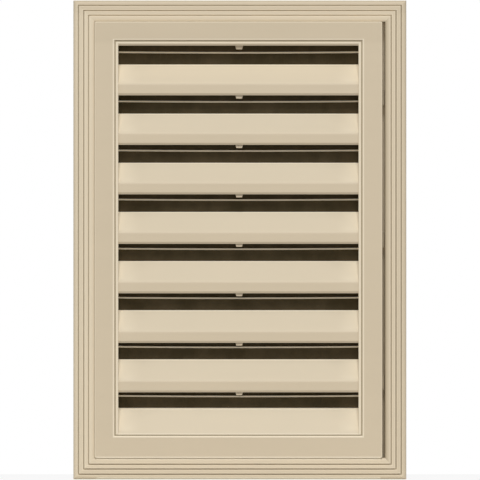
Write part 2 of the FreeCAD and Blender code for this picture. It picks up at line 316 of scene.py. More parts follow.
# plain mesh from what a piece's modifiers give
def settle(piece):
    bpy.context.view_layer.update()
    shown = piece.evaluated_get(bpy.context.evaluated_depsgraph_get())
    mesh = bpy.data.meshes.new_from_object(shown)
    piece.modifiers.clear()
    old = piece.data
    piece.data = mesh
    bpy.data.meshes.remove(old)
    return piece


def runTree(piece, tree, values):
    modifier = piece.modifiers.new(tree.name, "NODES")
    modifier.node_group = tree
    for item in tree.interface.items_tree:
        if item.in_out == "INPUT" and item.name in values:
            modifier[item.identifier] = values[item.name]
    return settle(piece)


# joins or cuts one closed mesh with another, which is then gone
def combine(piece, other, operation):
    modifier = piece.modifiers.new(operation, "BOOLEAN")
    modifier.operation = operation
    modifier.object = other
    modifier.solver = "MANIFOLD"
    settle(piece)
    bpy.data.objects.remove(other)


# smooth faces, sharp where two meet at more than the angle, normals weighted to the large faces
def finishShading(piece, sharpAngle=32, faceWeight=60):
    shape = bmesh.new()
    shape.from_mesh(piece.data)
    bmesh.ops.remove_doubles(shape, verts=shape.verts, dist=weldGap)
    bmesh.ops.dissolve_degenerate(shape, edges=shape.edges, dist=sliverGap)
    shape.to_mesh(piece.data)
    shape.free()
    piece.data.shade_smooth()
    piece.data.set_sharp_from_angle(angle=math.radians(sharpAngle))
    modifier = piece.modifiers.new("weigh", "WEIGHTED_NORMAL")
    modifier.keep_sharp = True
    modifier.weight = faceWeight
    settle(piece)


def paint(piece, material):
    piece.data.materials.clear()
    piece.data.materials.append(material)
    for face in piece.data.polygons:
        face.material_index = 0


# evenly spaced places about zero
def spread(count, pitch):
    return [(index - (count - 1) / 2) * pitch for index in range(count)]


# a place on the right, top, left or bottom wall (turn 0 to 3) as (x, z, turn)
def onWall(turn, half, along):
    x, z = ((half, along), (-along, half), (-half, -along), (along, -half))[turn]
    return (x, z, turn)


# places on all four walls
def wallPlaces(sideHalf, endHalf, sideAlong, endAlong):
    places = [onWall(turn, sideHalf, along) for along in sideAlong for turn in (0, 2)]
    return places + [onWall(turn, endHalf, along) for along in endAlong for turn in (1, 3)]


def setOnWalls(name, feature, places, material):
    mesh = bpy.data.meshes.new(name)
    mesh.from_pydata([(x * mm, 0, z * mm) for x, z, turn in places], [], [])
    angles = mesh.attributes.new("turn", "FLOAT", "POINT")
    for index, (x, z, turn) in enumerate(places):
        angles.data[index].value = -turn * math.pi / 2
    piece = runTree(makeObject(name, mesh), onWalls, {"Feature": feature, "Material": material})
    bpy.data.objects.remove(feature)
    return piece


inRow, onWalls, crossing = rowTree(), wallTree(), weaveTree()
print("trees ready")


# where a shaded point lies in millimetres, how far behind the face, and how far it faces up
class ShadedPoint:
    def __init__(self, net):
        self.place = net.add("ShaderNodeTexCoord", out="Object")
        x, y, z = net.add("ShaderNodeSeparateXYZ", None, {"Vector": self.place}, ["X", "Y", "Z"])
        self.x, self.z = x * (1 / mm), z * (1 / mm)
        self.setback = (y - frontFace) * (1 / mm)
        facing = net.add("ShaderNodeNewGeometry", out="Normal")
        self.upward = net.add("ShaderNodeSeparateXYZ", None, {"Vector": facing}, "Z")

    # distance out from a rectangle (middle x, middle z, half width, half height), mitred at its corners
    def outFrom(self, middleX, middleZ, halfWidth, halfHeight):
        return (abs(self.x - middleX) - halfWidth).larger(abs(self.z - middleZ) - halfHeight)

    # stripes along a rectangle's sides, each (middle, half width, share), between two setbacks
    def stripes(self, rectangle, nearest, deepest, bands):
        out = self.outFrom(*rectangle)
        reached = self.setback.near((nearest + deepest) / 2, (deepest - nearest) / 2)
        return sum(out.near(middle, half) * share for middle, half, share in bands) * reached


def newMaterial(name):
    material = bpy.data.materials.new(name)
    material.use_nodes = True
    return material, Net(material.node_tree)


noiseMiddle = 0.5


def noise(net, place, scale, detail, roughness=0.5):
    return net.add("ShaderNodeTexNoise", None,
                   {"Vector": place, "Scale": scale, "Detail": detail, "Roughness": roughness})


# a colour between the look's deep one and its pale one
def twoTone(net, shade, look):
    stops = list(zip(look["tintRange"], (look["deep"], look["pale"])))
    return net.add("ShaderNodeValToRGB", {"stops": stops}, {"Fac": shade})


# one colour over another, by a share
def blend(net, share, under, over):
    return net.add("ShaderNodeMix", {"data_type": "RGBA", "clamp_factor": True},
                   {0: share, 6: under, 7: over}, 2)  # 6, 7 and 2 are the node's colour sockets


# the closing shader, over a fine relief
def closeMaterial(material, net, look, tint, gloss, height):
    relief = net.add("ShaderNodeBump", None,
                     {"Strength": look["reliefStrength"], "Distance": look["reliefDepth"], "Height": height})
    shader = net.add("ShaderNodeBsdfPrincipled", None,
                     {"Base Color": tint, "Roughness": gloss, "Normal": relief, "IOR": look["ior"],
                      "Specular IOR Level": look["sheen"]})
    net.add("ShaderNodeOutputMaterial", None, {"Surface": shader})
    return material


# what the two mouldings share
moulding = {
    "cloudScale": 11.0, "cloudDetail": 4.0, "cloudRoughness": 0.55, "cloudShare": 0.6,
    "streakScale": 30.0, "streakStretch": (0.35, 3.0, 3.0), "fineDetail": 3.0, "tintRange": (0.3, 0.7),
    "skinScale": 1500.0, "reliefStrength": 0.04, "reliefDepth": 0.00006,
    "roughness": 0.5, "sheen": 0.45, "ior": 1.46, "glossGrain": 0.08, "glossCloud": 0.1,
    # the pale colour below is painted light, the dark one painted shade
    "bleached": (0.93, 0.83, 0.645, 1), "dust": (0.215, 0.165, 0.085, 1),
    "sunlit": (-0.4, -0.1), "seamEnds": (150, 148)}


# satin moulded plastic: faint clouding from the melt, fine flow streaks along the blades and a dull fine
# skin, with painted light and painted shade laid on by the function it is given
def mouldedPlastic(name, look, paintedLightAndShade):
    material, net = newMaterial(name)
    point = ShadedPoint(net)
    cloud = noise(net, point.place, look["cloudScale"], look["cloudDetail"], look["cloudRoughness"])
    along = net.add("ShaderNodeMapping", None, {"Vector": point.place, "Scale": look["streakStretch"]})
    streak = noise(net, along, look["streakScale"], look["fineDetail"])
    skin = noise(net, point.place, look["skinScale"], look["fineDetail"])
    tint = twoTone(net, cloud * look["cloudShare"] + streak * (1 - look["cloudShare"]), look)
    # painted light, then painted shade, over the plastic's own tone
    paintedLight, dust = paintedLightAndShade(point, look)
    tint = blend(net, paintedLight, tint, look["bleached"])
    tint = blend(net, dust, tint, look["dust"])
    gloss = look["roughness"] + (skin - noiseMiddle) * look["glossGrain"]
    gloss += (cloud - noiseMiddle) * look["glossCloud"]
    return closeMaterial(material, net, look, tint, gloss, skin)


# painted highlights on arrises that don't face down, painted light on a seam along the foot, and painted
# shade in the grooves
def paintedHighlightsAndShade(point, look):
    worn = sum(point.stripes(*line) for line in look["worn"]) * point.upward.ramp(*look["sunlit"])
    seam = point.stripes(*look["seamWorn"]) * point.z.ramp(*look["foot"])
    grooves = sum(point.stripes(*line) for line in look["dusty"])
    return worn + seam * abs(point.x).ramp(*look["seamEnds"]), grooves


# sizes in millimetres, from the middle of the vent
base = {
    "halfWidth": 150.7, "halfHeight": 228.6, "depth": 38.0, "faceThickness": 2.6, "edgeRadius": 0.9,
    "edgeSteps": 6, "cornerRadius": 1.5, "innerRadius": 0.4, "rimOverhang": 2.2, "wall": 2.4,
    "flangeWidth": 20.0, "flangeThickness": 2.4, "flangeRadius": 6.0, "flangeArris": 0.4, "skirtFillet": 0.5,
    "nailLine": 11.0, "nailWidth": 4.5, "nailLength": 16.0, "nailTurn": 0.3, "nailsEachWall": 2,
    "endNailPitch": 200.0, "sideNailPitch": 240.0, "cutMargin": 1.0,
    "nailFlat": 0.001,  # left straight at a slot's end, so that its arcs don't touch
    "fieldHalfWidth": 129.8, "fieldTop": 208.8, "fieldBottom": -205.25, "groove": 1.3, "grooveDepth": 1.3,
    "railRadius": 1.1, "railSteps": 5, "rimEdge": 0.3, "rimSteps": 3, "fieldSetback": 0.4,
    "rimLift": 0.02, "sillLift": 0.1,  # keep the levels apart at the sill's foot
    "rimRadius": 0.8, "rollSteps": 6, "mouthHalfWidth": 125.75, "mouthTop": 203.45,
    "chamferHeight": 2.2, "chamferDepth": 1.6, "sideDraft": 1.4, "topDraft": 2.2,
    "ledgeWidth": 7.0, "ledgeThickness": 2.4, "ledgeRadius": 0.8,
    "bite": 1.2, "sillBite": 1.0,  # how far a joined feature sinks in
    "ribThickness": 1.8, "ribDepth": 18.0, "ribPitch": 76.0, "sideRibs": 5, "endRibs": 3,
    "ridgeHeight": 2.0, "ridgeThickness": 1.4, "ridgeLength": 24.0, "ridgePitch": 4.0, "ridgeStart": 13.0,
    "ridgeCount": 4, "catchPitch": 150.0, "sideCatches": 3, "endCatches": 2, "screenThickness": 0.6,
    "sideStakes": 3, "stakeRadius": 1.5, "headRadius": 2.8, "headHeight": 0.9, "headRound": 0.2,
    "headDome": ((1, 0.45), (0.86, 0.78), (0.55, 0.96), (0.2, 1))}  # shares of the head's radius and height
louvre = {
    "pitch": 51.9, "count": 7, "slot": 17.8, "noseSetback": 2.0, "noseHeight": 11.9, "slopeDepth": 22.0,
    "bendRadius": 3.2, "thickness": 2.4, "chamferHeight": 2.1, "chamferDepth": 1.5, "lipRound": 0.25,
    "rearRadius": 0.8, "bladeTurn": 0.14, "endBite": 0.7, "barHeight": 1.7, "barDepth": 2.5, "barRise": 12.2,
    "barSetback": 1.0, "barSag": 0.6, "barStations": 31, "barRound": 0.45, "barTurn": 0.5,
    "tabTop": 7.9, "tabFoot": 6.2, "tabDrop": 3.1, "tabSetback": 4.0, "tabDepth": 9.0, "tabOffset": 0.8,
    "tabRound": 0.4, "tabSteps": 3}

rearEdge = louvre["noseSetback"] + louvre["slopeDepth"]
barFront = rearEdge + louvre["barSetback"]
fieldRear = barFront + louvre["barDepth"]
rise = louvre["pitch"] - louvre["slot"]
lastRear = base["mouthTop"] - louvre["slot"] - louvre["count"] * louvre["pitch"]  # the sill's rear edge
sillFoot = base["fieldBottom"] + base["groove"]
sillSlope = (lastRear - sillFoot) / (rearEdge - base["fieldSetback"])
tubeHalf = base["mouthHalfWidth"] + base["sideDraft"] + louvre["thickness"]
tubeTop = base["mouthTop"] + base["topDraft"] + louvre["thickness"]
ledgeHalf, ledgeTop = tubeHalf + base["ledgeWidth"], tubeTop + base["ledgeWidth"]
ledgeBottom = lastRear - base["ledgeWidth"]
skirtHalf, skirtEnd = base["halfWidth"] - base["rimOverhang"], base["halfHeight"] - base["rimOverhang"]
nailHalf, nailEnd = skirtHalf + base["nailLine"], skirtEnd + base["nailLine"]
flangeFront = base["depth"] - base["flangeThickness"]

fieldMiddle = (base["fieldTop"] + base["fieldBottom"]) / 2
fieldEdge = (0, fieldMiddle, base["fieldHalfWidth"], base["fieldTop"] - fieldMiddle)
faceEdge = (0, 0, base["halfWidth"], base["halfHeight"])
baseLook = moulding | {
    "deep": (0.590, 0.492, 0.348, 1), "pale": (0.615, 0.513, 0.364, 1),
    # painted light: paler where it faces up, more so deep in the field, at the blades' ends, and on the
    # blades' rear edges and everything behind them
    "skyFacing": (0.3, 0.66), "skyBleach": 0.40, "rearDepth": (2, 24), "rearBleach": 0.16,
    "ends": (100, 127), "endsDepth": (1, 6), "endBleach": 0.3, "backDepth": (22.4, 23.2), "backBleach": 0.66,
    # painted highlights: the field's rim and arris, the face's outer edge, the blades' rear edges
    "worn": [(fieldEdge, -1, 1.2, [(-2.7, 1.4, 0.46), (0.85, 0.9, 0.53)]),  # as stripes() takes them
             (faceEdge, -1, 1.2, [(-0.4, 0.6, 0.33)]),
             (fieldEdge, 22.3, 24.2, [(-110, 105, 0.5)])],
    # painted light on the face's lower edge, against the shadow at the foot
    "seamWorn": (faceEdge, -1, 1.2, [(-0.7, 0.9, 0.6)]), "foot": (-226, -227.5),
    # painted shade in the field's groove, then a darkening along the top
    "dusty": [(fieldEdge, -1, 1.6, [(-0.65, 0.65, 0.6)])], "head": (203, 210), "headDust": 0.07,
    # painted shade on the flange seen through the ring's gap, heavier lower down and none at the very top
    "gap": (faceEdge, 30, 37, [(3.5, 4.5, 1.0)]), "gapHead": (215, 195), "gapHeadDust": 0.36,
    "gapFoot": (60, -90), "gapFootDust": 0.28}


# painted light where it faces up, at the blades' ends and towards the back; painted shade in the ring's gap,
# and darker along the top
def baseLightAndShade(point, look):
    paintedLight, dust = paintedHighlightsAndShade(point, look)
    # painted light on faces turned up, at the blades' ends and from the blades' rear edges back
    sky = look["skyBleach"] + point.setback.ramp(*look["rearDepth"]) * look["rearBleach"]
    paintedLight += point.upward.ramp(*look["skyFacing"]) * sky
    paintedLight += abs(point.x).ramp(*look["ends"]) * point.setback.ramp(*look["endsDepth"]) * look["endBleach"]
    paintedLight += point.setback.ramp(*look["backDepth"]) * look["backBleach"]
    # painted shade in the ring's gap; the last term darkens along the top
    gapShade = point.z.ramp(*look["gapFoot"]) * look["gapFootDust"]
    gapShade += point.z.ramp(*look["gapHead"]) * look["gapHeadDust"]
    dust += point.stripes(*look["gap"]) * gapShade + point.z.ramp(*look["head"]) * look["headDust"]
    return paintedLight, dust


basePlastic = mouldedPlastic("basePlastic", baseLook, baseLightAndShade)


# a level that is alike above and below the middle
def even(halfWidth, halfHeight, setback, radius=base["innerRadius"]):
    return (halfWidth, -halfHeight, halfHeight, setback, radius)


# the frame's section as levels, first from the flange's rear edge up the wall to the back of the face
def outerLevels():
    flangeHalf, flangeEnd = skirtHalf + base["flangeWidth"], skirtEnd + base["flangeWidth"]
    radius, arris, fillet = base["flangeRadius"], base["flangeArris"], base["skirtFillet"]
    return [
        even(flangeHalf, flangeEnd, base["depth"], radius),
        even(flangeHalf, flangeEnd, flangeFront + arris, radius),
        even(flangeHalf - arris, flangeEnd - arris, flangeFront, radius - arris),
        even(nailHalf, nailEnd, flangeFront, radius / 2),  # an edge for the nail slots to cut across
        even(skirtHalf + fillet, skirtEnd + fillet, flangeFront, base["innerRadius"] + fillet),
        even(skirtHalf, skirtEnd, flangeFront - fillet),
        even(skirtHalf, skirtEnd, base["faceThickness"]),
        even(base["halfWidth"], base["halfHeight"], base["faceThickness"], base["cornerRadius"])]


# then over the face's rounded edge, the rolled rail, the groove and the field's rim
def faceLevels():
    levels = []
    edge = base["edgeRadius"]
    for turn in quarterTurn(base["edgeSteps"]):
        inset = edge * (1 - math.cos(turn))
        levels.append(even(base["halfWidth"] - inset, base["halfHeight"] - inset, edge * (1 - math.sin(turn)),
                           base["cornerRadius"] - inset))
    half, bottom, top = base["fieldHalfWidth"], base["fieldBottom"], base["fieldTop"]
    rail, radius = base["railRadius"], base["innerRadius"]
    for turn in quarterTurn(base["railSteps"]):
        out = rail * (1 - math.sin(turn))
        levels.append((half + out, bottom - out, top + out, rail * (1 - math.cos(turn)), radius))
    levels.append((half, bottom, top, base["grooveDepth"], radius))
    half, top, rim = half - base["groove"], top - base["groove"], base["rimEdge"]
    levels.append((half, sillFoot, top, base["grooveDepth"], radius))
    for step, turn in enumerate(quarterTurn(base["rimSteps"])):
        inset = rim * (1 - math.cos(turn))
        levels.append((half - inset, sillFoot + base["rimLift"] * step, top - inset,
                       base["fieldSetback"] + rim * (1 - math.sin(turn)), radius))
    return levels


# the mouth's sides and top at a setback, over a given bottom
def mouthLevel(setback, bottom):
    into, roll = setback - base["fieldSetback"], base["rimRadius"]
    share = into / (fieldRear - base["fieldSetback"])
    rounding = max(0, roll - into)
    half = base["mouthHalfWidth"] + base["sideDraft"] * share + roll - math.sqrt(roll ** 2 - rounding ** 2)
    drafted = base["mouthTop"] + base["topDraft"] * share
    chamfered = base["mouthTop"] + base["chamferHeight"] * (1 - into / base["chamferDepth"])
    return (half, bottom, max(drafted, chamfered), setback, base["innerRadius"])


# then through the mouth, with the sill below
def mouthLevels():
    start, roll = base["fieldSetback"], base["rimRadius"]
    depths = [roll * (1 - math.cos(turn)) for turn in quarterTurn(base["rollSteps"])] + [base["chamferDepth"]]
    levels = [mouthLevel(start + into, sillFoot + base["sillLift"] + sillSlope * into) for into in depths]
    sill = roundedPath([(start, sillFoot, 0), (rearEdge, lastRear, louvre["rearRadius"]),
                        (fieldRear, lastRear, 0), (fieldRear, ledgeBottom, 0)])
    return levels + [mouthLevel(setback, bottom) for setback, bottom in sill[1:-1]]


# then round the screen's ledge, along the tube and the inside of the wall, and back to the flange
def innerLevels():
    ledgeFront = fieldRear - base["ledgeThickness"]
    wallHalf, wallEnd = skirtHalf - base["wall"], skirtEnd - base["wall"]
    thick, radius = louvre["thickness"], base["innerRadius"]
    return [
        (ledgeHalf, ledgeBottom, ledgeTop, fieldRear, base["ledgeRadius"]),
        (ledgeHalf, ledgeBottom, ledgeTop, ledgeFront, base["ledgeRadius"]),
        (tubeHalf, lastRear - 2 * thick, tubeTop, ledgeFront, radius),
        (tubeHalf, sillFoot - thick, tubeTop, base["faceThickness"], radius),
        even(wallHalf, wallEnd, base["faceThickness"]),
        even(wallHalf, wallEnd, base["depth"]),
        even(nailHalf, nailEnd, base["depth"], base["flangeRadius"] / 2)]


# a bent blade, from its lip up the nose and back along the slope
def bladeSection(lip):
    nose, thick, lipRound = louvre["noseSetback"], louvre["thickness"], louvre["lipRound"]
    angle = math.atan2(rise - louvre["noseHeight"], louvre["slopeDepth"])
    bend = louvre["noseHeight"] + thick * (math.sin(angle) - 1) / math.cos(angle)
    return roundedPath([
        (nose + louvre["chamferDepth"], lip, lipRound),
        (nose, lip + louvre["chamferHeight"], lipRound),
        (nose, lip + louvre["noseHeight"], louvre["bendRadius"]),
        (rearEdge, lip + rise, louvre["rearRadius"]),
        (rearEdge + thick * math.sin(angle), lip + rise - thick * math.cos(angle), louvre["rearRadius"]),
        (nose + thick, lip + bend, louvre["bendRadius"] - thick),
        (nose + thick, lip, lipRound)], louvre["bladeTurn"])


def barSection(middle):
    half, roundness = louvre["barHeight"] / 2, louvre["barRound"]
    return roundedPath([(barFront, middle - half, roundness), (barFront, middle + half, roundness),
                        (fieldRear, middle + half, roundness), (fieldRear, middle - half, roundness)],
                       louvre["barTurn"])


# the small tapered tab that hangs behind the middle of a lip
def centreTab(name, lip, underHeader):
    front = louvre["noseSetback"] + louvre["tabSetback"]
    back = front + louvre["tabDepth"]
    slope = (rise - louvre["noseHeight"]) / louvre["slopeDepth"]
    thick = louvre["thickness"]
    if underHeader:
        frontTop = lip + thick / 2
        rearTop = frontTop + base["topDraft"]
    else:
        frontTop = lip + louvre["noseHeight"] + (louvre["tabSetback"] - thick / 2) * slope - thick / 2
        rearTop = frontTop + louvre["tabDepth"] * slope
    foot, waist, shoulder = lip - louvre["tabDrop"], louvre["tabFoot"] / 2, louvre["tabTop"] / 2
    outline = [(front, foot, waist), (front, lip, shoulder), (front, frontTop, shoulder),
               (back, rearTop, shoulder), (back, lip, shoulder), (back, foot, waist)]
    points = [spot(louvre["tabOffset"] + side * half, setback, z)
              for side in (-1, 1) for setback, z, half in outline]
    count = len(outline)
    faces = []
    for first in (0, count):  # each side is two flat faces that meet at the lip's height
        faces.append((first, first + 1, first + 4, first + 5))
        faces.append((first + 1, first + 2, first + 3, first + 4))
    for index in range(count):
        after = (index + 1) % count
        faces.append((index, after, count + after, count + index))
    tab = meshObject(name, points, faces)
    modifier = tab.modifiers.new("soften", "BEVEL")
    modifier.width, modifier.segments = louvre["tabRound"] * mm, louvre["tabSteps"]
    return settle(tab)


# blades, guard bars and tabs, each made once and repeated down the field
def addLouvres(piece):
    header = base["mouthTop"]
    firstLip = header - louvre["pitch"]
    inside = tubeHalf - louvre["endBite"]
    bar = barSection(header - louvre["slot"] + louvre["barRise"])
    rows = [(barAlong("blades", bladeSection(firstLip), inside), louvre["count"]),
            (barAlong("bars", bar, inside, louvre["barStations"], louvre["barSag"]), louvre["count"] + 1),
            (centreTab("tabs", firstLip, False), louvre["count"])]
    for row, count in rows:
        runTree(row, inRow, {"Count": count, "Step": (0, 0, -louvre["pitch"] * mm), "Material": basePlastic})
        combine(piece, row, "UNION")
    combine(piece, centreTab("topTab", header, True), "UNION")


# where the ridges are, and the ring's catches over them
def catchPlaces(sideHalf, endHalf):
    return wallPlaces(sideHalf, endHalf, spread(base["sideCatches"], base["catchPitch"]),
                      spread(base["endCatches"], base["catchPitch"]))


# rows of ratchet ridges on the outside of the wall
def addRidges(piece):
    bite, tall, thick = base["bite"], base["ridgeHeight"], base["ridgeThickness"]
    for index in range(base["ridgeCount"]):
        start = base["ridgeStart"] + index * base["ridgePitch"]
        ridge = wallFeature("ridge", [(-bite, start), (0, start), (tall, start + thick / 2),
                                      (tall, start + thick), (-bite, start + thick)], base["ridgeLength"])
        combine(piece, setOnWalls("ridges", ridge, catchPlaces(skirtHalf, skirtEnd), basePlastic), "UNION")


# ribs behind the face, from the wall to the tube
def addRibs(piece):
    front = base["faceThickness"] / 2
    back = front + base["ribDepth"]
    side = (skirtHalf, tubeHalf - base["bite"], base["sideRibs"])  # the wall, the tube, how many
    top = (skirtEnd, tubeTop - base["bite"], base["endRibs"])
    bottom = (skirtEnd, base["sillBite"] - sillFoot, base["endRibs"])
    for turn, (wall, tube, count) in ((0, side), (2, side), (1, top), (3, bottom)):
        outer = wall - base["wall"] / 2
        section = [(tube - outer, front), (0, front), (0, back), (tube - outer, back)]
        places = [onWall(turn, outer, along) for along in spread(count, base["ribPitch"])]
        ribs = setOnWalls("ribs", wallFeature("rib", section, base["ribThickness"]), places, basePlastic)
        combine(piece, ribs, "UNION")


# stakes with domed heads that hold the screen on its ledge
def addStakes(piece):
    screenBack = fieldRear + base["screenThickness"]
    head, tall, roundness = base["headRadius"], base["headHeight"], base["headRound"]
    profile = [(base["stakeRadius"], fieldRear - base["bite"]), (base["stakeRadius"], screenBack),
               (head - roundness, screenBack), (head, screenBack + roundness)]
    profile += [(head * wide, screenBack + tall * high) for wide, high in base["headDome"]]
    stake = turnedFeature("stake", profile)
    side, top, bottom = (tubeHalf + ledgeHalf) / 2, (tubeTop + ledgeTop) / 2, (ledgeBottom + lastRear) / 2
    heights = spread(base["sideStakes"], (top - bottom) / (base["sideStakes"] - 1))
    places = [(x, (top + bottom) / 2 + up, 0) for x in (-side, side) for up in heights]
    places += [(0, top, 0), (0, bottom, 0)]
    combine(piece, setOnWalls("stakes", stake, places, basePlastic), "UNION")


# long slots in each side of the flange
def cutNailSlots(piece):
    half, length = base["nailWidth"] / 2, base["nailLength"] / 2
    roundness = half - base["nailFlat"]
    path = roundedPath([(-half, -length, roundness), (half, -length, roundness),
                        (half, length, roundness), (-half, length, roundness)], base["nailTurn"])
    ends = (flangeFront - base["cutMargin"], base["depth"] + base["cutMargin"])
    cutter = skinOver("nailSlot", [[spot(u, setback, v) for u, v in path] for setback in ends])
    count = base["nailsEachWall"]
    places = wallPlaces(nailHalf, nailEnd, spread(count, base["sideNailPitch"]),
                        spread(count, base["endNailPitch"]))
    combine(piece, setOnWalls("nailSlots", cutter, places, basePlastic), "DIFFERENCE")


def buildBase():
    piece = loopStack("louvreBase", outerLevels() + faceLevels() + mouthLevels() + innerLevels())
    addLouvres(piece)
    print("louvre field joined:", len(piece.data.polygons), "faces")
    addRidges(piece)
    addRibs(piece)
    addStakes(piece)
    cutNailSlots(piece)
    finishShading(piece)
    paint(piece, basePlastic)
    return piece


louvreBase = buildBase()
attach(louvreBase, "root")
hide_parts("louvre_base")
print("louvre base:", len(louvreBase.data.polygons), "faces")

# in millimetres: the opening's halves, then the strips, which reach in from the outer edge
ring = {
    "halfWidth": 152.3, "halfHeight": 228.95, "shift": 1.5, "band": 22.7, "setback": 2.2, "step": 1.6,
    "strips": (17.0, 11.9, 6.25), "quirkWidth": 1.3, "quirkDepth": 1.2, "quirkRadius": 0.15,
    "wall": 2.0, "web": 2.2, "hollowRadius": 0.4, "lipRadius": 0.3, "turnStep": 0.2,
    "rollWidth": 3.0, "rollDepth": 1.0, "rollSteps": 8, "endReach": 0.22, "endReachWidth": 0.5,
    "arris": 0.5, "outerRadius": 3.5, "cornerRadius": 0.25, "cornerSteps": 2, "skirt": 12.5, "back": 22.0,
    "catchWidth": 16.0, "catchReach": 2.2, "catchThickness": 1.8, "catchFront": 18.7, "catchInset": 0.05}
ringEdge = (ring["shift"], 0, ring["halfWidth"], ring["halfHeight"])
quirks = [ring["band"] - reach + ring["quirkWidth"] / 2 for reach in ring["strips"]]
ringLook = moulding | {
    "deep": (0.662, 0.556, 0.398, 1), "pale": (0.688, 0.578, 0.414, 1),
    # painted highlights beside each quirk, painted light on the inner and outer edges at the foot, painted
    # shade in the quirks
    "worn": [(ringEdge, -1, 9, [(quirk + side, 0.5, 0.26) for quirk in quirks for side in (-1.2, 1.2)])],
    "seamWorn": (ringEdge, -1, 9, [(0.6, 1.0, 0.85), (21.4, 1.5, 0.6)]), "foot": (-227, -229),
    "dusty": [(ringEdge, -1, 9, [(quirk, ring["quirkWidth"] / 2, 0.46) for quirk in quirks])],
    # less painted groove shade on the top and bottom arms, darker along the top, painted light down the left,
    # painted shade down the open right side and on the outer strips
    "rained": 0.8, "head": (233, 240), "headDust": 0.08, "leftBleach": 0.12, "openSide": (5.7, -0.5),
    "openDust": 0.46, "rightDust": 0.04, "outerStrips": (8, 16), "outerDust": 0.08,
    "mitre": 0.02}  # tolerance for telling which side of a mitre a point is on


# painted light down the left, painted shade down the open right side and on the outer strips, less painted
# shade in the grooves of the top and bottom, and darker along the top
def ringLightAndShade(point, look):
    paintedLight, grooves = paintedHighlightsAndShade(point, look)
    out = point.outFrom(*ringEdge)
    outRight = point.x - ring["shift"] - ring["halfWidth"]
    outLeft = ring["shift"] - ring["halfWidth"] - point.x
    onLeft, onRight = out.near(outLeft, look["mitre"]), out.near(outRight, look["mitre"])
    onEnds = out.near(abs(point.z) - ring["halfHeight"], look["mitre"])
    # painted light down the left and painted shade down the right, deepest beside the open gap
    paintedLight += onLeft * look["leftBleach"]
    dust = grooves * (1 - onEnds * look["rained"])
    dust += onRight * (outRight.ramp(*look["openSide"]) * look["openDust"] + look["rightDust"])
    dust += out.ramp(*look["outerStrips"]) * look["outerDust"]
    # darker along the top
    dust += point.z.ramp(*look["head"]) * look["headDust"]
    return paintedLight, dust


ringPlastic = mouldedPlastic("ringPlastic", ringLook, ringLightAndShade)


# the stepped strips, their quirks and the hollow back, as (distance out from the opening, setback)
def ringSection():
    level, under = ring["setback"], ring["quirkDepth"] + ring["web"]
    outer, wall, lip = ring["band"], ring["wall"], ring["lipRadius"]
    corners = [(0, ring["skirt"], lip)]
    for turn in quarterTurn(ring["rollSteps"]):
        corners.append((ring["rollWidth"] * (1 - math.cos(turn)),
                        level + ring["rollDepth"] * (1 - math.sin(turn)), 0))
    hollow = [(wall, level + under, 0)]
    for reach in ring["strips"]:
        near, far = outer - reach, outer - reach + ring["quirkWidth"]
        foot = level + ring["step"] + ring["quirkDepth"]
        corners += [(near, level, ring["arris"]), (near, foot, ring["quirkRadius"]),
                    (far, foot, ring["quirkRadius"])]
        hollow.append((near - wall, level + under, 0))
        level += ring["step"]
        corners.append((far, level, ring["arris"] / 2))
        hollow.append((near - wall, level + under, 0))
    corners += [(outer, level, ring["outerRadius"]), (outer, ring["back"], lip),
                (outer - wall, ring["back"], lip), (outer - wall, level + under, ring["hollowRadius"])]
    corners += reversed(hollow)
    corners.append((wall, ring["skirt"], lip))
    return roundedPath(corners, ring["turnStep"])


def buildRing():
    levels = []
    for out, setback in ringSection():
        reach = ring["endReach"] if out < ring["endReachWidth"] else 0  # the ends' inner edge lies closer in
        end = ring["halfHeight"] + out - reach
        levels.append((ring["halfWidth"] + out, -end, end, setback, ring["cornerRadius"]))
    piece = loopStack("trimRing", levels, ring["shift"], ring["cornerSteps"])
    root, inner, reach = ring["skirt"] - ring["wall"], ring["wall"] - ring["catchInset"], ring["catchReach"]
    front, thick = ring["catchFront"], ring["catchThickness"]
    tongue = wallFeature("catch", [
        (0, root), (0, front), (-reach, front), (-reach, front + thick / 2), (0, front + thick),
        (inner, front + thick), (inner, root)], ring["catchWidth"])
    places = catchPlaces(ring["halfWidth"], ring["halfHeight"])
    shifted = [(x + ring["shift"], z, turn) for x, z, turn in places]
    combine(piece, setOnWalls("catches", tongue, shifted, ringPlastic), "UNION")
    finishShading(piece)
    paint(piece, ringPlastic)
    return piece


trimRing = buildRing()
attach(trimRing, "root")
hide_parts("trim_ring")
print("trim ring:", len(trimRing.data.polygons), "faces")

# in millimetres
screen = {
    "pitch": 1.6, "thread": 0.28, "threadSides": 6, "crossOffset": 0.05, "membrane": 0.16, "hem": 0.5,
    "cells": 24}
screenLook = {
    "deep": (0.062, 0.046, 0.020, 1), "pale": (0.102, 0.076, 0.040, 1), "tintRange": (0.35, 0.7),
    "dustScale": 40.0, "dustDetail": 5.0, "fuzzScale": 2600.0, "fuzzDetail": 2.0,
    "reliefStrength": 0.3, "reliefDepth": 0.00005,
    "roughness": 0.8, "glossDust": 0.2, "sheen": 0.2, "ior": 1.45}


# dull dark thread, a little lighter where the coating has rubbed
def screenThread(name, look):
    material, net = newMaterial(name)
    place = net.add("ShaderNodeTexCoord", out="Object")
    # the thread's own random tone, with no painted shade in it
    dust = noise(net, place, look["dustScale"], look["dustDetail"])
    fuzz = noise(net, place, look["fuzzScale"], look["fuzzDetail"])
    gloss = look["roughness"] + (dust - noiseMiddle) * look["glossDust"]
    return closeMaterial(material, net, look, twoTone(net, dust, look), gloss, fuzz)


meshThread = screenThread("meshThread", screenLook)


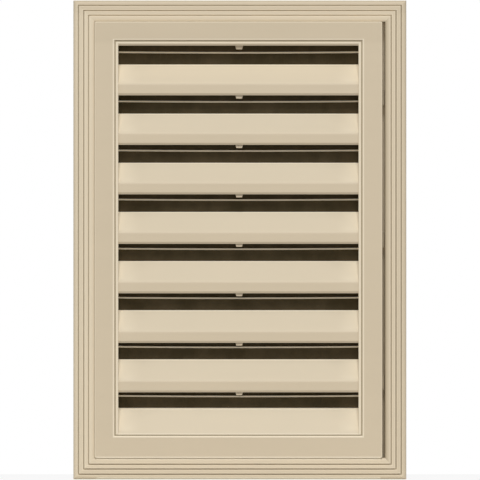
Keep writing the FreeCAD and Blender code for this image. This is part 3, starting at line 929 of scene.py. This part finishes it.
# a thin sheet with both sides in cells
def stretchedSheet(name, low, high):
    cells, wide = screen["cells"], screen["cells"] + 1
    middle, half = (low.y + high.y) / 2, screen["membrane"] * mm / 2
    points, faces = [], []
    for side in (-1, 1):
        for row in range(wide):
            for column in range(wide):
                points.append((low.x + (high.x - low.x) * column / cells, middle + side * half,
                               low.z + (high.z - low.z) * row / cells))
    size = wide ** 2
    for layer in (0, size):
        for row in range(cells):
            for column in range(cells):
                first = layer + row * wide + column
                faces.append((first, first + 1, first + wide + 1, first + wide))
    rim = list(range(cells)) + [step * wide + cells for step in range(cells)]
    rim += [size - 1 - step for step in range(cells)] + [(cells - step) * wide for step in range(cells)]
    for index, first in enumerate(rim):
        after = rim[(index + 1) % len(rim)]
        faces.append((first, after, size + after, size + first))
    return meshObject(name, points, faces)


# one straight thread between two places, across or upright
def threadBetween(name, start, end):
    sides, radius = screen["threadSides"], screen["thread"] * mm / 2
    upright = start[0] == end[0]
    loops = []
    for x, y, z in (start, end):
        loop = []
        for side in range(sides):
            angle = 2 * math.pi * side / sides
            out, back = radius * math.cos(angle), radius * math.sin(angle)
            loop.append((x + out, y + back, z) if upright else (x, y + back, z + out))
        loops.append(loop)
    return skinOver(name, loops)


# the sheet, and crossing threads that stand proud of both its sides
def buildScreen():
    low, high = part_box("insect_screen")
    sheet = stretchedSheet("insectScreen", low, high)
    paint(sheet, meshThread)
    pitch, hem, offset = screen["pitch"] * mm, screen["hem"] * mm, screen["crossOffset"] * mm
    left, right, foot, top = low.x + hem, high.x - hem, low.z + hem, high.z - hem
    middle = (low.y + high.y) / 2
    across = threadBetween("threadAcross", (left, middle + offset, foot), (right, middle + offset, foot))
    upright = threadBetween("threadUpright", (left, middle - offset, foot), (left, middle - offset, top))
    weave = makeObject("screenThreads", bpy.data.meshes.new("screenThreads"))
    runTree(weave, crossing, {
        "Across": across, "Upright": upright, "Rows": int((top - foot) / pitch) + 1,
        "Columns": int((right - left) / pitch) + 1, "Row Step": (0, 0, pitch), "Column Step": (pitch, 0, 0),
        "Material": meshThread})
    bpy.data.objects.remove(across)
    bpy.data.objects.remove(upright)
    weave.data.shade_smooth()
    return sheet, weave, (high.x - low.x, high.z - low.z)


insectScreen, screenThreads, screenSize = buildScreen()
for piece in (insectScreen, screenThreads):
    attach(piece, "root")
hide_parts("insect_screen")
print("screen:", len(screenThreads.data.polygons), "thread faces")

# places and sizes in metres, power in watts
studio = {
    "white": (1, 1, 1, 1), "ambient": 0.27,
    "lamps": {"keyLamp": ((0, -4.8, 3.5), (1.2, 2.3), 189.0),  # place, size, power
              "frontLamp": ((0, -5.0, 0.5), (1.2, 0.9), 28.0),
              "leftLamp": ((-2.7, -1.89, 1.2), (1.3, 0.5), 8.0),
              "rightLamp": ((2.7, -1.89, 1.2), (1.3, 0.5), 9.0),
              "backLamp": ((0, 4.2, 0.35), (1.2, 0.9), 60.0)},
    "floorColour": (0.72, 0.72, 0.72, 1), "floorRoughness": 0.9, "floorWhite": 0.84,
    "floorSide": 0.8, "floorBack": 0.03, "floorFront": 0.45}
camera = {
    "distance": 2.65, "x": 0.00165, "z": -0.00012, "width": 0.5026, "clip": (0.05, 50.0),
    "sensor": 36.0}  # in millimetres


# a lamp that faces the middle of the vent
def areaLamp(name, place, size, power):
    lamp = bpy.data.lights.new(name, "AREA")
    lamp.shape = "RECTANGLE"
    lamp.size, lamp.size_y = size
    lamp.energy = power
    holder = makeObject(name, lamp)
    holder.location = place
    holder.rotation_euler = (-Vector(place)).to_track_quat("-Z", "Y").to_euler()
    holder.visible_camera = False


def seenDirectly(net):
    seen, glossy, through = net.add("ShaderNodeLightPath",
                                    out=["Is Camera Ray", "Is Glossy Ray", "Is Transmission Ray"])
    return seen + glossy + through


# white where it is seen, dimmer as light
def setLight():
    world = bpy.data.worlds.new("studio")
    bpy.context.scene.world = world
    world.use_nodes = True
    net = Net(world.node_tree)
    strength = studio["ambient"] + seenDirectly(net) * (1 - studio["ambient"])
    sky = net.add("ShaderNodeBackground", None, {"Color": studio["white"], "Strength": strength})
    net.add("ShaderNodeOutputWorld", None, {"Surface": sky})
    for name, (place, size, power) in studio["lamps"].items():
        areaLamp(name, place, size, power)


# pale paper under the vent, nearly white where it is seen, so that its shadow stays faint
def setFloor():
    side, front, back = studio["floorSide"], -studio["floorFront"], studio["floorBack"]
    corners = [(-side, front), (side, front), (side, back), (-side, back)]
    mesh = bpy.data.meshes.new("studioFloor")
    mesh.from_pydata([(x, y, cadLow.z) for x, y in corners], [], [(0, 1, 2, 3)])
    floor = makeObject("studioFloor", mesh)
    material, net = newMaterial("floorPaper")
    paper = net.add("ShaderNodeBsdfPrincipled", None,
                    {"Base Color": studio["floorColour"], "Roughness": studio["floorRoughness"]})
    glow = net.add("ShaderNodeEmission", None, {"Color": studio["white"], "Strength": 1.0})
    share = seenDirectly(net) * studio["floorWhite"]
    both = net.add("ShaderNodeMixShader", None, {0: share, 1: paper, 2: glow})
    net.add("ShaderNodeOutputMaterial", None, {"Surface": both})
    mesh.materials.append(material)


def setCamera():
    lens = bpy.data.cameras.new("photoCamera")
    lens.sensor_width = camera["sensor"]
    lens.lens = camera["sensor"] * camera["distance"] / camera["width"]
    lens.clip_start, lens.clip_end = camera["clip"]
    holder = makeObject("photoCamera", lens)
    holder.location = (camera["x"], frontFace - camera["distance"], camera["z"])
    holder.rotation_euler = (math.pi / 2, 0, 0)
    bpy.context.scene.camera = holder
    bpy.context.scene.view_settings.view_transform = "Standard"


setLight()
setFloor()
setCamera()
print("studio ready")
